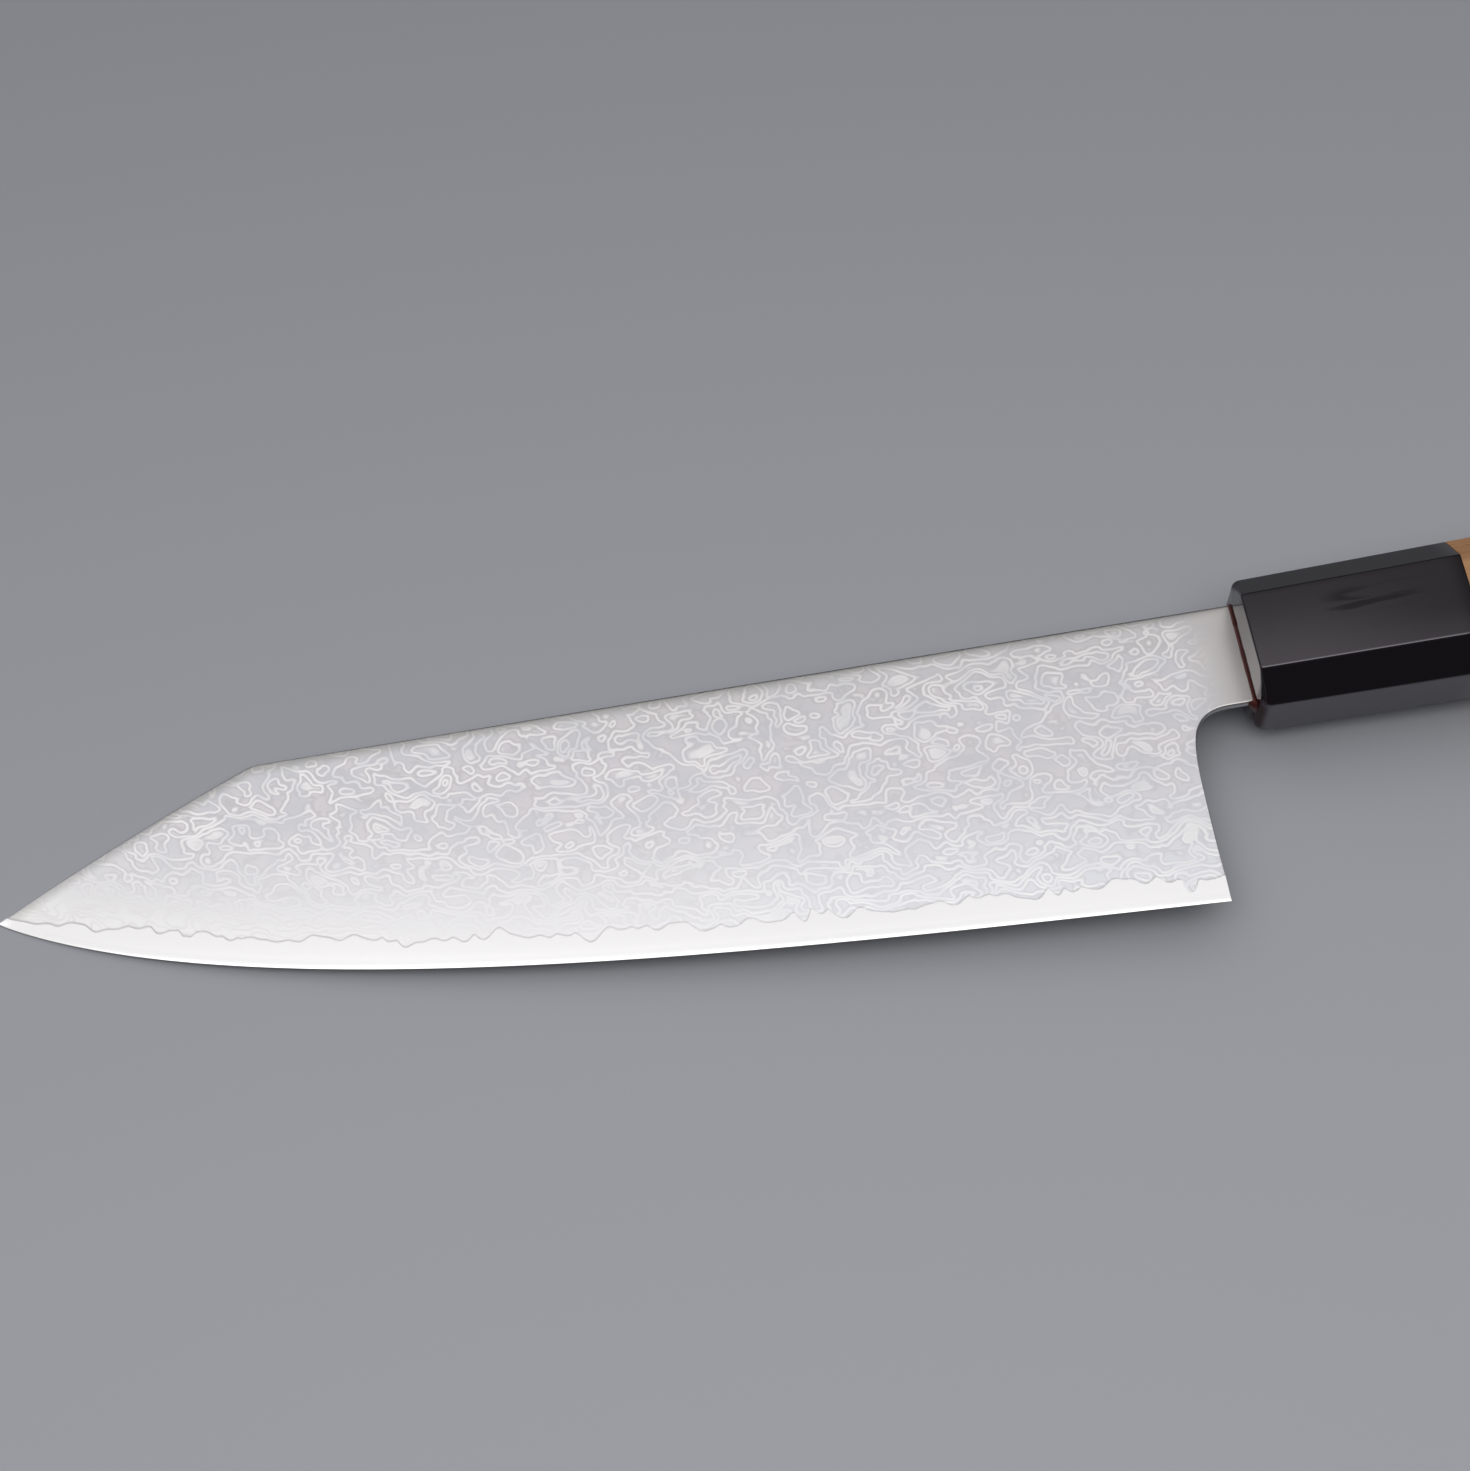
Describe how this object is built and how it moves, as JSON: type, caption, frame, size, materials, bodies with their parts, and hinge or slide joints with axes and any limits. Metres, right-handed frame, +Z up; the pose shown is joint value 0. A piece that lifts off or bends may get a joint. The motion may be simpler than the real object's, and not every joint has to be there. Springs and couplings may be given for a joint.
{
  "type": "bunka knife",
  "caption": "Kitchen knife with a layered steel blade, a K-shaped point and a hidden-tang octagonal wooden handle with a black ferrule.",
  "frame": {"origin": "on the surface that the knife lies on, under the middle of its bounding box", "axes": "+X along the knife from the point to the butt, +Y from the edge to the spine, +Z up out of the left face; the knife lies on its right side, on the point and the ferrule's lower front edge"},
  "size_m": [0.3226, 0.05, 0.0258],
  "materials": {
    "core_steel": "polished",
    "layered_steel": "satin, etched layer pattern",
    "seal_resin": "glossy",
    "black_ferrule": "polished",
    "grip_wood": "oiled",
    "dowel_wood": "bare",
    "bedding_resin": "cast"
  },
  "bodies": {
    "root": {"blade_core": "core_steel", "left_cladding": "layered_steel", "right_cladding": "layered_steel", "mouth_seal": "seal_resin", "ferrule": "black_ferrule", "grip": "grip_wood", "dowel": "dowel_wood", "tang_bedding": "bedding_resin"}
  },
  "joints": []
}
